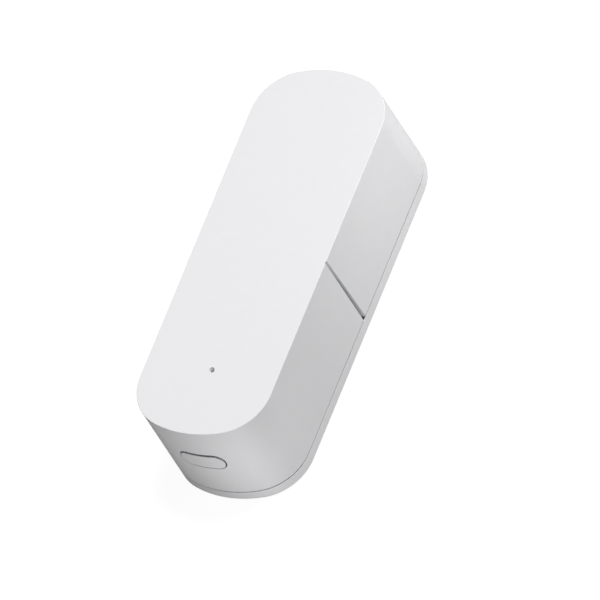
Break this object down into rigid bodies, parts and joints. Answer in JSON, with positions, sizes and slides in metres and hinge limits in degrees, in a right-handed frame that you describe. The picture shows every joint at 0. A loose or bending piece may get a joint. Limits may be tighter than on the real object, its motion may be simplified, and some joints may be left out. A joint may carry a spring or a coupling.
{
  "type": "vibration sensor tag",
  "caption": "Slim stick-on vibration sensor: rounded white housing over AAA cells, with a side button, an indicator hole, a push-fit back cover and an adhesive pad.",
  "frame": {"origin": "centre of the underside of the adhesive pad, where the tag meets its surface", "axes": "+Z away from the surface, +Y along the length towards the end without the button, +X towards the groove"},
  "size_m": [0.025, 0.0718, 0.0207],
  "materials": {
    "shell_white": "fine matte moulded white plastic",
    "button_white": "fine matte moulded white plastic",
    "cover_white": "fine matte moulded white plastic",
    "foam_adhesive": "closed-cell foam with an adhesive face",
    "clear_acrylic": "polished clear acrylic",
    "chassis_grey": "moulded light grey plastic",
    "screw_steel": "zinc-plated steel",
    "board_green": "solder-masked glass epoxy",
    "can_tin": "tinned sheet steel",
    "chip_black": "black moulding compound",
    "trace_copper": "bare printed copper",
    "led_epoxy": "yellowish clear epoxy",
    "chip_ceramic": "tan ceramic chips",
    "sensor_can": "drawn metal can",
    "gold_wire": "gold-flashed spring wire",
    "cell_sleeve": "plain metallised film sleeve",
    "contact_nickel": "nickel-plated spring steel"
  },
  "bodies": {
    "base": {"back_cover": "cover_white", "adhesive_pad": "foam_adhesive"},
    "housing": {"front_shell": "shell_white", "light_pipe": "clear_acrylic", "chassis": "chassis_grey", "chassis_screws": "screw_steel", "main_board": "board_green", "shield_can": "can_tin", "crystal": "can_tin", "radio_chip": "chip_black", "tact_switch": "chip_black", "vibration_base": "chip_black", "antenna_trace": "trace_copper", "status_led": "led_epoxy", "board_passives": "chip_ceramic", "vibration_sleeve": "sensor_can", "vibration_leads": "gold_wire", "battery_cell_a": "cell_sleeve", "battery_cell_b": "cell_sleeve", "contact_positive": "contact_nickel", "contact_negative": "contact_nickel", "contact_bridge": "contact_nickel", "contact_spring_a": "contact_nickel", "contact_spring_b": "contact_nickel"},
    "button": {"side_button": "button_white"},
    "stem": {"tact_stem": "chip_black"},
    "whip": {"vibration_spring": "gold_wire"}
  },
  "joints": [
    {"name": "housing_lift", "type": "slide", "parent": "base", "child": "housing", "axis": [0, 0, 1], "range_m": [0, 0.03]},
    {"name": "button_press", "type": "slide", "parent": "housing", "child": "button", "axis": [0, 1, 0], "range_m": [0, 0.0003], "stiffness_N_per_m": 5000},
    {"name": "stem_travel", "type": "slide", "parent": "housing", "child": "stem", "axis": [0, 1, 0], "range_m": [0, 0.0003]},
    {"name": "whip_sway", "type": "hinge", "parent": "housing", "child": "whip", "pos_m": [0.0069, -0.02721, 0.01243], "axis": [1, 0, 0], "range_deg": [-6, 6], "stiffness_Nm_per_rad": 0.000005}
  ],
  "couplings": [
    {"joint": "stem_travel", "follows": "button_press", "ratio": 1}
  ]
}
